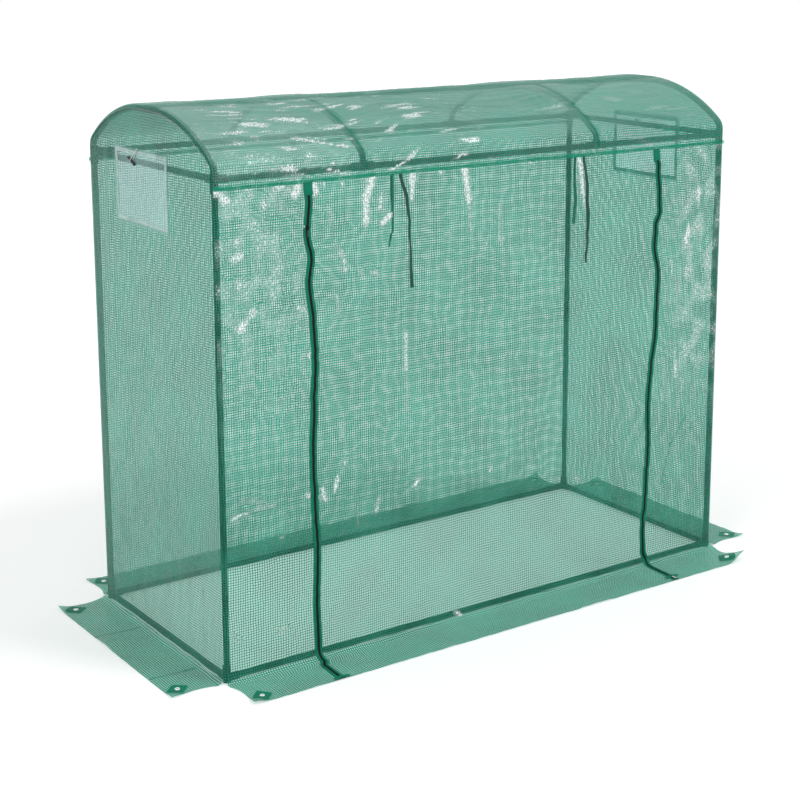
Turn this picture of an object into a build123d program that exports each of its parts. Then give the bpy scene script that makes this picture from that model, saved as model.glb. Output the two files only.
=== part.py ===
"""Polytunnel greenhouse: a narrow film house on a plug-together frame of steel tubes.

Millimetres. X runs along the long front, the zipped front faces -Y, Z is up.
The origin is on the ground, below the middle of the house.
"""
import os
from math import asin, cos, radians, sin

from build123d import *

os.makedirs("parts", exist_ok=True)

# Frame tubes, measured between centre lines
frame_length = 1980.0
frame_depth = 806.0
eaves_height = 1513.0
tube_radius = 9.5
tube_sides = 16
left_hoop_inset = 500.0
right_hoop_inset = 565.0

# Bent shape of a roof hoop, on its centre line: upright stub, tight haunch, wide roof bend
roof_rise = 148.0
haunch_radius = 34.0

# Moulded joints that the tubes plug into, with flats all round their sockets
socket_radius = 12.0
socket_sides = 12
socket_reach = 38.0
stub_reach = 18.0
tube_stop = 12.5
socket_clearance = 0.2
butt_gap = 0.3
stub_drop = 5.0
stub_straight = 1.0
joint_foot = 1.0

# Film cover and its seams
film = 1.0
film_gap = 0.4
seam_gap = 0.3
seam_drop = 23.0
seam_band_width = 12.0
band_thickness = 0.8

# Ground skirts, and the eyelets with their patches near the skirts' ends
skirt_width = 175.0
eyelet_edge_inset = 42.0
eyelet_end_inset = 45.0
eyelet_hole_radius = 4.5
eyelet_wall = 0.8
eyelet_rim_radius = 8.5
eyelet_rim_height = 1.2
eyelet_sides = 12
patch_size = 46.0
patch_corner_cut = 7.0
patch_thickness = 0.6

# Zips on both sides of the roll-up door panel, set in from the posts
zip_inset = 300.0
zip_slit = 8.0
zip_tape_width = 27.0
zip_coil_width = 7.0
zip_coil_height = 1.6
zip_bend_radius = 9.0
slider_length = 13.0
slider_width = 10.0
slider_height = 3.0
slider_corner_cut = 2.5
slider_edge_inset = 30.0
slider_drop = 104.0
pull_length = 24.0
pull_width = 6.0
pull_thickness = 1.6
pull_corner_cut = 1.5
zip_tab_width = 31.0
zip_tab_height = 38.0
zip_tab_thickness = 0.6

# Vents in the end covers, each with a net inside and a flap held by tape outside
vent_width = 318.0
vent_height = 198.0
vent_drop = 76.0
left_vent_shift = 40.0
right_vent_shift = -13.0
vent_tape_width = 13.0
flap_lap = 8.0
net_hem = 15.0
net_thickness = 0.6

# Toggle on its cord loop at the top of each vent flap
toggle_length = 46.0
toggle_radius = 4.5
toggle_sides = 12
toggle_neck_radius = 2.8
toggle_neck_length = 6.5
toggle_tilt = 24.0
toggle_across = 45.0
toggle_rise = 80.0
toggle_cord_radius = 1.2
toggle_cord_sides = 8
toggle_cord_length = 56.0
toggle_cord_slope = -48.0
toggle_cord_slack = 0.6
toggle_cord_bend = 4.0
toggle_cord_bow = 0.4
toggle_cord_bow_at = 11.0

# Ties that hold the door panel when it is rolled up, set in from its zips
tie_width = 11.0
tie_thickness = 1.0
left_outer_tie_inset = 354.0
left_inner_tie_inset = 300.0
right_outer_tie_inset = 318.0
right_inner_tie_inset = 363.0
outer_tie_length = 355.0
inner_tie_length = 228.0

# Places that follow from the sizes above
seam_height = eaves_height - seam_drop
spring_height = eaves_height + stub_reach + stub_straight
ridge_height = spring_height + roof_rise
vent_centre_height = eaves_height - vent_drop
toggle_height = vent_centre_height + toggle_rise
half_length = frame_length / 2
half_depth = frame_depth / 2
left_hoop_x = left_hoop_inset - half_length
right_hoop_x = half_length - right_hoop_inset
zip_x = half_length - zip_inset
wrap = socket_radius + film_gap
inner_x = half_length + wrap
outer_x = inner_x + film
inner_y = half_depth + wrap
outer_y = inner_y + film
wall_foot = film + seam_gap
sewn_y = outer_y + seam_gap
tape_face = sewn_y + band_thickness
stop_gap = tube_stop + butt_gap
bore_radius = tube_radius + socket_clearance
post_top = eaves_height - stub_drop - butt_gap / 2
stub_foot = eaves_height - stub_drop + butt_gap / 2
ground_height = socket_radius + joint_foot
band_foot = seam_height - seam_band_width / 2
sides = (-1, 1)

# The roof bend's radius and reach round, from the rise and the span left between the haunches
haunch_across = half_depth - haunch_radius - socket_reach
roof_span = haunch_across**2 + roof_rise**2 - haunch_radius**2
roof_radius = roof_span / (2 * (roof_rise - haunch_radius))
roof_slope = asin(haunch_across / (roof_radius - haunch_radius))


def export(piece, name):
    """Labels a finished piece and writes it."""
    piece.part.label = name
    export_step(piece.part, f"parts/{name}.step")


def half_roof(side, offset=0.0, foot=eaves_height):
    """Draws the roof's line on one side, from its foot up round the haunch to the crown."""
    roof = roof_radius + offset
    haunch = haunch_radius + offset
    roof_centre = ridge_height - roof_radius

    def on_haunch(angle):
        across = half_depth - haunch_radius + haunch * cos(angle)
        return (side * across, spring_height + haunch * sin(angle))

    def on_roof(angle):
        return (side * (socket_reach + roof * sin(angle)), roof_centre + roof * cos(angle))

    bend = radians(90) - roof_slope
    Line((side * (half_depth + offset), foot), on_haunch(0))
    ThreePointArc(on_haunch(0), on_haunch(bend / 2), on_haunch(bend))
    ThreePointArc(on_roof(roof_slope), on_roof(roof_slope / 2), on_roof(0))
    Line(on_roof(0), (0, roof_centre + roof))


def add_tube(start, end):
    """Adds one straight tube between two points."""
    run = Vector(end) - Vector(start)
    with BuildSketch(Plane(origin=start, z_dir=run)) as section:
        RegularPolygon(tube_radius, tube_sides)
    extrude(section.sketch, amount=run.length)


def add_rail(y, z, joints):
    """Adds a long rail along X, in one tube from each joint to the next."""
    for left, right in zip(joints, joints[1:]):
        add_tube((left + stop_gap, y, z), (right - stop_gap, y, z))


def plain_socket(*direction):
    """Gives the direction, root, reach and stop of a plain socket."""
    return (direction, 0.0, socket_reach, tube_stop)


def add_joint(centre, sockets):
    """Adds one moulded joint: sockets round a closed core, each bored from its mouth to its stop."""

    def section(direction, start, apothem):
        with BuildSketch(Plane(origin=Vector(centre) + Vector(direction) * start, z_dir=direction)) as flats:
            RegularPolygon(apothem, socket_sides, major_radius=False, rotation=180 / socket_sides)
        return flats.sketch

    for direction, root, reach, _ in sockets:
        extrude(section(direction, root, socket_radius), amount=reach - root)
    for direction, _, reach, stop in sockets:
        extrude(section(direction, stop, bore_radius), amount=reach - stop, mode=Mode.SUBTRACT)


def add_hoop(x):
    """Adds a roof hoop bent from one tube, with both feet plugged into the eaves joints."""
    with BuildLine(Plane.YZ.offset(x)) as bent:
        for side in sides:
            half_roof(side, foot=stub_foot)
    with BuildSketch(Plane.XY.offset(stub_foot)) as section:
        with Locations((x, -half_depth)):
            RegularPolygon(tube_radius, tube_sides)
    sweep(section.sketch, path=bent.wires()[0])


def add_end_rails(z):
    """Adds the short rails along Y at both ends, from the front joint to the rear joint."""
    for side in sides:
        x = side * half_length
        add_tube((x, stop_gap - half_depth, z), (x, half_depth - stop_gap, z))


# Ground rails
for row, face in zip(sides, ("front", "rear")):
    with BuildPart() as ground_rail:
        add_rail(row * half_depth, ground_height, (-half_length, half_length))
    export(ground_rail, f"ground_rail_{face}")

with BuildPart() as end_ground_rails:
    add_end_rails(ground_height)
export(end_ground_rails, "end_ground_rails")

# Corner posts, a pair at each end
for side, end in zip(sides, ("left", "right")):
    with BuildPart() as corner_posts:
        for row in sides:
            foot = (side * half_length, row * half_depth, ground_height + stop_gap)
            add_tube(foot, (side * half_length, row * half_depth, post_top))
    export(corner_posts, f"corner_posts_{end}")

# Eaves rails; the long ones are cut where the middle hoops stand on them
rail_joints = (-half_length, left_hoop_x, right_hoop_x, half_length)
for row, face in zip(sides, ("front", "rear")):
    with BuildPart() as eaves_rail:
        add_rail(row * half_depth, eaves_height, rail_joints)
    export(eaves_rail, f"eaves_rail_{face}")

with BuildPart() as end_eaves_rails:
    add_end_rails(eaves_height)
export(end_eaves_rails, "end_eaves_rails")

# Ridge rail
with BuildPart() as ridge_rail:
    add_rail(0, ridge_height, rail_joints)
export(ridge_rail, "ridge_rail")

# Roof hoops
hoops = {
    "end_hoop_left": (-half_length,),
    "middle_hoops": (left_hoop_x, right_hoop_x),
    "end_hoop_right": (half_length,),
}
for name, places in hoops.items():
    with BuildPart() as hoop:
        for x in places:
            add_hoop(x)
    export(hoop, name)

# Joints at the four ground corners, flat underneath
with BuildPart() as ground_corner_joints:
    for side in sides:
        for row in sides:
            corner = (side * half_length, row * half_depth, ground_height)
            foot = ((0, 0, 1), -ground_height, socket_reach, tube_stop)
            add_joint(corner, [foot, plain_socket(-side, 0, 0), plain_socket(0, -row, 0)])
export(ground_corner_joints, "ground_corner_joints")

# Joints at the four eaves corners; post and hoop meet inside their upright sleeve
with BuildPart() as eaves_corner_joints:
    for side in sides:
        for row in sides:
            corner = (side * half_length, row * half_depth, eaves_height)
            sleeve = ((0, 0, 1), -socket_reach, stub_reach, -socket_reach)
            add_joint(corner, [sleeve, plain_socket(-side, 0, 0), plain_socket(0, -row, 0)])
export(eaves_corner_joints, "eaves_corner_joints")

# Tee joints that stand the middle hoops on the long eaves rails
with BuildPart() as hoop_tee_joints:
    for x in (left_hoop_x, right_hoop_x):
        for row in sides:
            seat = ((0, 0, 1), 0.0, stub_reach, -stub_drop)
            add_joint((x, row * half_depth, eaves_height), [plain_socket(-1, 0, 0), plain_socket(1, 0, 0), seat])
export(hoop_tee_joints, "hoop_tee_joints")

# Joints along the ridge: a sleeve over each hoop's crown, with a socket for each ridge tube
with BuildPart() as ridge_joints:
    for x in rail_joints:
        sleeve = ((0, 1, 0), -socket_reach, socket_reach, -socket_reach)
        along = [plain_socket(way, 0, 0) for way in sides if abs(x + way) < half_length]
        add_joint((x, 0, ridge_height), [sleeve] + along)
export(ridge_joints, "ridge_joints")

# Roof cover, one sheet bent over the hoops from the front seam to the rear seam
with BuildPart() as roof_cover:
    with BuildSketch(Plane.YZ.offset(-outer_x)):
        with BuildLine():
            for side in sides:
                half_roof(side, offset=wrap, foot=seam_height)
                half_roof(side, offset=wrap + film, foot=seam_height)
                Line((side * inner_y, seam_height), (side * outer_y, seam_height))
        make_face()
    extrude(amount=2 * outer_x)
export(roof_cover, "roof_cover")


def add_wall_sheet(row, left, right):
    """Adds an upright sheet of the front or rear, from the ground skirt up to the roof seam."""
    with BuildSketch(Plane.XZ.offset(-row * inner_y)) as sheet:
        with Locations(((left + right) / 2, (wall_foot + seam_height - seam_gap) / 2)):
            Rectangle(right - left, seam_height - seam_gap - wall_foot)
    extrude(sheet.sketch, amount=-row * film)


# Rear cover, and the front cover's three panels with the door panel between the zips
with BuildPart() as rear_cover:
    add_wall_sheet(1, -outer_x, outer_x)
export(rear_cover, "rear_cover")

front_panels = {
    "front_panel_left": (-outer_x, -zip_x - zip_slit / 2),
    "door_panel": (-zip_x + zip_slit / 2, zip_x - zip_slit / 2),
    "front_panel_right": (zip_x + zip_slit / 2, outer_x),
}
for name, (left, right) in front_panels.items():
    with BuildPart() as front_panel:
        add_wall_sheet(-1, left, right)
    export(front_panel, name)

# End covers with their vent openings, under the roof cover's arch
vent_shifts = (left_vent_shift, right_vent_shift)
for side, end, shift in zip(sides, ("left", "right"), vent_shifts):
    with BuildPart() as end_cover:
        with BuildSketch(Plane.YZ.offset(side * inner_x)):
            with BuildLine():
                for row in sides:
                    half_roof(row, offset=wrap - seam_gap, foot=wall_foot)
                Line((seam_gap - inner_y, wall_foot), (inner_y - seam_gap, wall_foot))
            make_face()
            with Locations((shift, vent_centre_height)):
                Rectangle(vent_width, vent_height, mode=Mode.SUBTRACT)
        extrude(amount=side * film)
    export(end_cover, f"end_cover_{end}")

# Stitched seam bands where the roof cover is sewn to the front and the rear
with BuildPart() as roof_seam_bands:
    for row in sides:
        with BuildSketch(Plane.XZ.offset(-row * sewn_y)):
            with Locations((0, seam_height)):
                Rectangle(2 * outer_x, seam_band_width)
        extrude(amount=-row * band_thickness)
export(roof_seam_bands, "roof_seam_bands")


def add_zip_strip(x, width, lift, top, height):
    """Adds a strip that runs down the front, bends at the ground and crosses the skirt."""
    edge = -outer_y - skirt_width

    def follow(rise, bend):
        front = -sewn_y - rise
        ground = wall_foot + rise
        return FilletPolyline((front, top), (front, ground), (edge, ground), radius=bend)

    with BuildSketch(Plane.YZ.offset(x - width / 2)) as outline:
        with BuildLine():
            near = follow(lift, zip_bend_radius)
            far = follow(lift + height, zip_bend_radius - height)
            Line(near @ 0, far @ 0)
            Line(near @ 1, far @ 1)
        make_face()
    extrude(outline.sketch, amount=width)


# Zips: a tape along each slit with the coil on it, down the front and over the skirt
tape_top = band_foot - seam_gap
coil_top = tape_top - zip_tab_height - seam_gap
for side, end in zip(sides, ("left", "right")):
    with BuildPart() as zip_strip:
        add_zip_strip(side * zip_x, zip_tape_width, 0, tape_top, band_thickness)
        add_zip_strip(side * zip_x, zip_coil_width, band_thickness, coil_top, zip_coil_height)
    export(zip_strip, f"zip_{end}")

# Sewn tabs over the zips' top ends
with BuildPart() as zip_top_tabs:
    with BuildSketch(Plane.XZ.offset(tape_face + seam_gap)):
        with Locations((-zip_x, tape_top - zip_tab_height / 2), (zip_x, tape_top - zip_tab_height / 2)):
            Rectangle(zip_tab_width, zip_tab_height)
    extrude(amount=zip_tab_thickness)
export(zip_top_tabs, "zip_top_tabs")

# Sliders: the left zip's at the top, the right zip's at the skirt's outer edge
slider_face = tape_face + zip_coil_height + seam_gap
slider_floor = wall_foot + band_thickness + zip_coil_height + seam_gap
left_slider_height = coil_top - slider_drop + slider_length / 2
right_slider_y = -outer_y - skirt_width + slider_edge_inset
slider_planes = (
    Plane(origin=(-zip_x, -slider_face, left_slider_height), x_dir=(0, 0, -1), z_dir=(0, -1, 0)),
    Plane(origin=(zip_x, right_slider_y, slider_floor), x_dir=(0, -1, 0), z_dir=(0, 0, 1)),
)
pull_reach = slider_length / 2 + pull_length
with BuildPart() as zip_sliders:
    for plane in slider_planes:
        with BuildSketch(plane):
            Rectangle(slider_length, slider_width)
            chamfer(vertices(), slider_corner_cut)
        extrude(amount=slider_height)
        with BuildSketch(plane.offset(slider_height / 2)):
            with Locations((pull_reach / 2, 0)):
                Rectangle(pull_reach, pull_width)
                chamfer(vertices(), pull_corner_cut)
        extrude(amount=pull_thickness)
export(zip_sliders, "zip_sliders")

# Skirts flat on the ground, the front one in three lengths between the zips
skirt_spans = {
    "skirt_front_left": (-outer_x, -zip_x - zip_slit / 2, -1),
    "skirt_front_door": (-zip_x + zip_slit / 2, zip_x - zip_slit / 2, -1),
    "skirt_front_right": (zip_x + zip_slit / 2, outer_x, -1),
    "skirt_rear": (-outer_x, outer_x, 1),
}
eyelet_out = skirt_width + outer_y - eyelet_edge_inset
eyelet_end_out = skirt_width + outer_x - eyelet_edge_inset
eyelet_x = outer_x - eyelet_end_inset
eyelet_y = outer_y - eyelet_end_inset
eyelets = [(side * eyelet_x, row * eyelet_out) for row in sides for side in sides]
eyelets += [(side * eyelet_end_out, row * eyelet_y) for side in sides for row in sides]
barrel_radius = eyelet_hole_radius + eyelet_wall
barrel_hole = barrel_radius + socket_clearance
patch_foot = film + seam_gap
rim_foot = patch_foot + patch_thickness + seam_gap


def add_skirt(low, high):
    """Adds one flat skirt between two corners, with holes for its eyelets."""
    with BuildSketch() as flat:
        with Locations(((low[0] + high[0]) / 2, (low[1] + high[1]) / 2)):
            Rectangle(high[0] - low[0], high[1] - low[1])
        with Locations(*eyelets):
            RegularPolygon(barrel_hole, eyelet_sides, major_radius=False, mode=Mode.SUBTRACT)
    extrude(flat.sketch, amount=film)


for name, (left, right, row) in skirt_spans.items():
    near, far = sorted((row * inner_y, row * (outer_y + skirt_width)))
    with BuildPart() as skirt:
        add_skirt((left, near), (right, far))
    export(skirt, name)

for side, end in zip(sides, ("left", "right")):
    near, far = sorted((side * inner_x, side * (outer_x + skirt_width)))
    with BuildPart() as skirt:
        add_skirt((near, seam_gap - inner_y), (far, inner_y - seam_gap))
    export(skirt, f"skirt_{end}")

# Patches under the eyelets, set cornerwise
with BuildPart() as eyelet_patches:
    with BuildSketch(Plane.XY.offset(patch_foot)):
        with Locations(*eyelets):
            Rectangle(patch_size, patch_size, rotation=45)
        chamfer(vertices(), patch_corner_cut)
        with Locations(*eyelets):
            RegularPolygon(barrel_hole, eyelet_sides, major_radius=False, mode=Mode.SUBTRACT)
    extrude(amount=patch_thickness)
export(eyelet_patches, "eyelet_patches")

# Eyelets: a barrel through skirt and patch with a bevelled rim on top, round only in the bore
with BuildPart() as skirt_eyelets:
    with BuildSketch(Plane.XY.offset(rim_foot)):
        with Locations(*eyelets):
            RegularPolygon(eyelet_rim_radius, eyelet_sides)
    extrude(amount=eyelet_rim_height)
    chamfer(faces().group_by(Axis.Z)[-1].edges(), eyelet_rim_height / 2)
    with BuildSketch(Plane.XY.offset(seam_gap)):
        with Locations(*eyelets):
            RegularPolygon(barrel_radius, eyelet_sides, major_radius=False)
    extrude(amount=rim_foot - seam_gap)
    with BuildSketch(Plane.XY.offset(seam_gap)):
        with Locations(*eyelets):
            Circle(eyelet_hole_radius)
    extrude(amount=rim_foot + eyelet_rim_height, mode=Mode.SUBTRACT)
export(skirt_eyelets, "skirt_eyelets")

# Vents: tape frame and flap outside, net inside
tape_outer_width = vent_width + 2 * vent_tape_width
tape_outer_height = vent_height + 2 * vent_tape_width
tape_x = outer_x + seam_gap
flap_x = tape_x + band_thickness + seam_gap
net_x = inner_x - seam_gap
vent_centres = {-1: (left_vent_shift, vent_centre_height), 1: (right_vent_shift, vent_centre_height)}

with BuildPart() as vent_tapes:
    for side, centre in vent_centres.items():
        with BuildSketch(Plane.YZ.offset(side * tape_x)):
            with Locations(centre):
                Rectangle(tape_outer_width, tape_outer_height)
                Rectangle(vent_width, vent_height, mode=Mode.SUBTRACT)
        extrude(amount=side * band_thickness)
export(vent_tapes, "vent_tapes")

for end, (side, centre) in zip(("left", "right"), vent_centres.items()):
    with BuildPart() as vent_flap:
        with BuildSketch(Plane.YZ.offset(side * flap_x)):
            with Locations(centre):
                Rectangle(tape_outer_width + 2 * flap_lap, tape_outer_height + 2 * flap_lap)
        extrude(amount=side * film)
    export(vent_flap, f"vent_flap_{end}")

with BuildPart() as vent_nets:
    for side, centre in vent_centres.items():
        with BuildSketch(Plane.YZ.offset(side * net_x)):
            with Locations(centre):
                Rectangle(vent_width + 2 * net_hem, vent_height + 2 * net_hem)
        extrude(amount=-side * net_thickness)
export(vent_nets, "vent_nets")

# Toggles, each a bar with a neck in the middle that its cord loops round
flap_face = flap_x + film
toggle_x = flap_face + seam_gap + 2 * toggle_cord_radius + toggle_neck_radius + socket_clearance
toggle_shifts = (left_vent_shift + toggle_across, right_vent_shift + toggle_across)
with BuildPart() as vent_toggles:
    for side, across in zip(sides, toggle_shifts):
        along = (0, cos(radians(toggle_tilt)), sin(radians(toggle_tilt)))
        middle = Plane(origin=(side * toggle_x, across, toggle_height), x_dir=(1, 0, 0), z_dir=along)
        with BuildSketch(middle):
            RegularPolygon(toggle_neck_radius, toggle_sides)
        extrude(amount=toggle_neck_length / 2, both=True)
        for way in sides:
            with BuildSketch(middle.offset(way * toggle_neck_length / 2)):
                RegularPolygon(toggle_radius, toggle_sides)
            extrude(amount=way * (toggle_length - toggle_neck_length) / 2)
export(vent_toggles, "vent_toggles")

# Cord loops of the toggles: out from the flap's seam, round the neck and back
loop_radius = toggle_neck_radius + toggle_cord_radius + socket_clearance
for side, end, across in zip(sides, ("left", "right"), toggle_shifts):
    fall = Vector(0, cos(radians(toggle_cord_slope)), sin(radians(toggle_cord_slope)))
    neck = Vector(side * toggle_x, across, toggle_height)
    sewn = neck - fall * toggle_cord_length
    out = Vector(side, 0, 0)
    root_x = loop_radius - 2 * toggle_cord_radius
    turn = fall * (loop_radius + toggle_cord_slack)
    inner = out * -loop_radius
    outer = out * (loop_radius + toggle_cord_slack)
    bow = fall * toggle_cord_bow_at
    route = [
        sewn + inner,
        neck + inner + out * toggle_cord_bow - bow,
        neck + inner + turn,
        neck + outer + turn,
        neck + outer + out * toggle_cord_bow - bow,
        sewn + out * (seam_gap - root_x),
    ]
    with BuildPart() as toggle_cord:
        with BuildLine() as loop:
            FilletPolyline(*route, radius=toggle_cord_bend)
        with BuildSketch(Plane(origin=route[0], z_dir=route[1] - route[0])):
            RegularPolygon(toggle_cord_radius, toggle_cord_sides)
        sweep(path=loop.wires()[0])
    export(toggle_cord, f"toggle_cord_{end}")

# Ties in pairs, one outside and one inside the cover, for the rolled-up door
with BuildPart() as outer_door_ties:
    with BuildSketch(Plane.XZ.offset(sewn_y)):
        tie_centre = band_foot - seam_gap - outer_tie_length / 2
        with Locations((left_outer_tie_inset - zip_x, tie_centre), (zip_x - right_outer_tie_inset, tie_centre)):
            Rectangle(tie_width, outer_tie_length)
    extrude(amount=tie_thickness)
export(outer_door_ties, "outer_door_ties")

with BuildPart() as inner_door_ties:
    with BuildSketch(Plane.XZ.offset(inner_y - seam_gap)):
        tie_centre = seam_height - inner_tie_length / 2
        with Locations((left_inner_tie_inset - zip_x, tie_centre), (zip_x - right_inner_tie_inset, tie_centre)):
            Rectangle(tie_width, inner_tie_length)
    extrude(amount=-tie_thickness)
export(inner_door_ties, "inner_door_ties")
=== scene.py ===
"""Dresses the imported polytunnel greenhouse: film, zips, skirts, vents, camera and light. Metres."""

from math import asin, cos, exp, hypot, pi, radians, sin

import bmesh
import bpy
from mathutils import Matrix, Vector, noise


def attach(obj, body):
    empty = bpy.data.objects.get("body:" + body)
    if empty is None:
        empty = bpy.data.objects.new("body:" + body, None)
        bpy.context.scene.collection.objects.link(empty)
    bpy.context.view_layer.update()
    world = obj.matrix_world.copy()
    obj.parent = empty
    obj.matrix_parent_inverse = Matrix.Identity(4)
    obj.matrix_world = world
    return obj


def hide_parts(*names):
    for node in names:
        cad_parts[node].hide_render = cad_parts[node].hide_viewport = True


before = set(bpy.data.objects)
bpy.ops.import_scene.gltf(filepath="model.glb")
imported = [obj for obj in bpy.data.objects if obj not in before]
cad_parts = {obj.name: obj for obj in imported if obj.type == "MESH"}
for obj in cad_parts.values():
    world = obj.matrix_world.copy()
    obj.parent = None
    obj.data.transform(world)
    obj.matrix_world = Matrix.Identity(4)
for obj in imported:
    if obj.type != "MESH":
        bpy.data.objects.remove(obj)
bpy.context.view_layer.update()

# Sizes repeated from the part's source
HALF_LENGTH = 0.990
HALF_DEPTH = 0.403
SPRING = 1.532
RIDGE = 1.680
HAUNCH = 0.034
CROWN = 0.038
SEAM = 1.490
SKIRT = 0.175
SKIRT_START = 0.0134
WRAP = 0.0129
ZIP_X = 0.690
ZIP_SLIT = 0.008
LEFT_HOOP = -0.490
RIGHT_HOOP = 0.425
EYELET_X = 0.9584
EYELET_Y = 0.3714
EYELET_OUT = 0.5494
EYELET_END_OUT = 1.1364
VENT_WIDTH = 0.318
VENT_HEIGHT = 0.198
VENT_Z = 1.437
VENT_SHIFT = {-1: 0.040, 1: -0.013}
TAPE = 0.013
TAB_LENGTH = 0.038

# The film's bend from the walls out onto the ground
BEND = 0.028
GROUND = 0.0012
WALL = HALF_DEPTH + WRAP
END = HALF_LENGTH + WRAP

# ---- Camera

view_yaw, view_pitch = 0.618414, -0.199304
lens_data = bpy.data.cameras.new("view")
lens_data.lens = 75.043
lens_data.sensor_width = 36.0
lens_data.shift_x = -0.0398
lens_data.shift_y = -0.15
viewer = bpy.data.objects.new("view", lens_data)
bpy.context.scene.collection.objects.link(viewer)
viewer.location = (-3.1875, -4.5477, 2.1651)
aim = Vector((sin(view_yaw) * cos(view_pitch), cos(view_yaw) * cos(view_pitch), sin(view_pitch)))
viewer.rotation_euler = aim.to_track_quat("-Z", "Y").to_euler()
bpy.context.scene.camera = viewer


# ---- Small helpers

def smooth(t):
    """Eases from 0 to 1."""
    t = min(1.0, max(0.0, t))
    return t * t * (3 - 2 * t)


def soft(x, y, width, height, seed):
    """Gives smooth noise whose hills are about width by height."""
    return noise.noise(Vector((x / width + seed * 7.31, y / height - seed * 3.17, seed)))


def crumple(x, y, size, seed):
    """Gives noise with sharp creases, from 0 to about 1."""
    return 1 - 2 * abs(soft(x, y, size, size, seed))


def spread(low, high, step):
    """Divides a span into even steps of about the given length."""
    count = max(1, round((high - low) / step))
    return [low + (high - low) * i / count for i in range(count + 1)]


def through(table, z):
    """Reads a value from a table of (height, value) rows, eased between its rows."""
    if z >= table[0][0]:
        return table[0][1]
    for (high, above), (low, below) in zip(table, table[1:]):
        if z >= low:
            return below + (above - below) * smooth((z - low) / (high - low))
    return table[-1][1]


def link(name, data):
    """Makes an object of the data and puts it in the scene."""
    obj = bpy.data.objects.new(name, data)
    bpy.context.scene.collection.objects.link(obj)
    return obj


def put_in_place(piece, stands_for):
    """Rides a piece on the root in a node's place, and hides that node."""
    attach(piece, "root")
    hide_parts(stands_for)


def add_mesh(name, points, faces, cuts=None, material=None):
    """Makes a smooth mesh object, with each point's spot on the flat cut in the attribute "cut"."""
    mesh = bpy.data.meshes.new(name)
    mesh.from_pydata(points, [], faces)
    mesh.polygons.foreach_set("use_smooth", [True] * len(mesh.polygons))
    if cuts:
        layer = mesh.attributes.new("cut", "FLOAT_VECTOR", "POINT")
        layer.data.foreach_set("vector", [n for cut in cuts for n in cut])
    if material:
        mesh.materials.append(material)
    mesh.update()
    return link(name, mesh)


def grid(rows, columns, first=0):
    """Lists the faces of a grid whose points are stored row after row."""
    starts = [first + r * columns + c for r in range(rows - 1) for c in range(columns - 1)]
    return [(a, a + 1, a + columns + 1, a + columns) for a in starts]


def add_sheet(name, us, vs, place, material):
    """Makes an open sheet from place(u, v), which gives a point and its spot on the cut."""
    placed = [place(u, v) for v in vs for u in us]
    return add_mesh(name, [p for p, _ in placed], grid(len(vs), len(us)), [c for _, c in placed], material)


def both_sides(half, middle=()):
    """Completes a strip's profile from its left half and what lies in the middle."""
    return (*half, *middle, *((-across, out) for across, out in reversed(half)))


def ribbon(name, path, profile, material):
    """Lays a strip along (point, across, out) frames, with a profile of (across, out) pairs."""
    points, spots, run = [], [], 0.0
    for i, (point, across, out) in enumerate(path):
        if i:
            run += (point - path[i - 1][0]).length
        for side, rise in profile:
            points.append(tuple(point + across * side + out * rise))
            spots.append((side, run, rise))
    return add_mesh(name, points, grid(len(path), len(profile)), spots, material)


def middle(face):
    """Gives the middle of a face."""
    return face.calc_center_median()


def near_to(work, spot, reach):
    """Lists the faces whose middle is within reach of a spot, seen from above."""
    return [f for f in work.faces if hypot(middle(f).x - spot[0], middle(f).y - spot[1]) < reach]


def edges_of(parts):
    """Lists the edges of some faces."""
    return list({e for f in parts for e in f.edges})


# ---- Node helpers

tree = None


def new_material(name):
    """Starts an empty material, whose tree takes the nodes that are made next."""
    global tree
    material = bpy.data.materials.new(name)
    material.use_nodes = True
    tree = material.node_tree
    tree.nodes.clear()
    return material


def node(kind, inputs=(), **settings):
    """Adds a shader node with its properties and inputs. A colour needs only three numbers."""
    made = tree.nodes.new("ShaderNode" + kind)
    for key, value in settings.items():
        setattr(made, key, value)
    for key, value in dict(inputs).items():
        socket = made.inputs[key]
        if isinstance(value, bpy.types.NodeSocket):
            tree.links.new(value, socket)
        else:
            socket.default_value = (*value, 1.0) if socket.type == "RGBA" else value
    return made


def output(kind, inputs=(), **settings):
    """Adds a shader node and gives its first output."""
    return node(kind, inputs, **settings).outputs[0]


def math(operation, a, b=0.0, clamp=False):
    """Adds a math node and gives its output."""
    return output("Math", {0: a, 1: b}, operation=operation, use_clamp=clamp)


def times(a, b, clamp=False):
    """Adds a product and gives its output."""
    return math("MULTIPLY", a, b, clamp)


def plus(a, b, clamp=False):
    """Adds a sum and gives its output."""
    return math("ADD", a, b, clamp)


def remap(value, low, high, to_low=0.0, to_high=1.0):
    """Adds a clamped map range and gives its output."""
    inputs = {"Value": value, "From Min": low, "From Max": high, "To Min": to_low, "To Max": to_high}
    return output("MapRange", inputs, interpolation_type="SMOOTHSTEP")


def blend_colour(factor, a, b):
    """Adds a colour mix and gives its output."""
    return node("Mix", {0: factor, 6: a, 7: b}, data_type="RGBA").outputs[2]


def speckle(vector, scale, detail=2.0, roughness=0.5):
    """Adds a noise texture and gives its value."""
    inputs = {"Vector": vector, "Scale": scale, "Detail": detail, "Roughness": roughness}
    return output("TexNoise", inputs)


def vector_math(operation, a, b):
    """Adds a vector math node and gives its output."""
    second = "Scale" if operation == "SCALE" else 1
    return output("VectorMath", {0: a, second: b}, operation=operation)


def bumped(height, strength, distance):
    """Adds a bump and gives its normal."""
    return output("Bump", {"Height": height, "Strength": strength, "Distance": distance})


def mix_shader(factor, a, b):
    """Adds a shader mix and gives its output."""
    return output("MixShader", {0: factor, 1: a, 2: b})


def seen_directly():
    """Gives 1 for camera, mirror and see-through rays, and 0 for the light that falls on the object."""
    rays = node("LightPath").outputs
    seen = plus(rays["Is Camera Ray"], rays["Is Glossy Ray"])
    return plus(seen, rays["Is Transmission Ray"], clamp=True)


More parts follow.
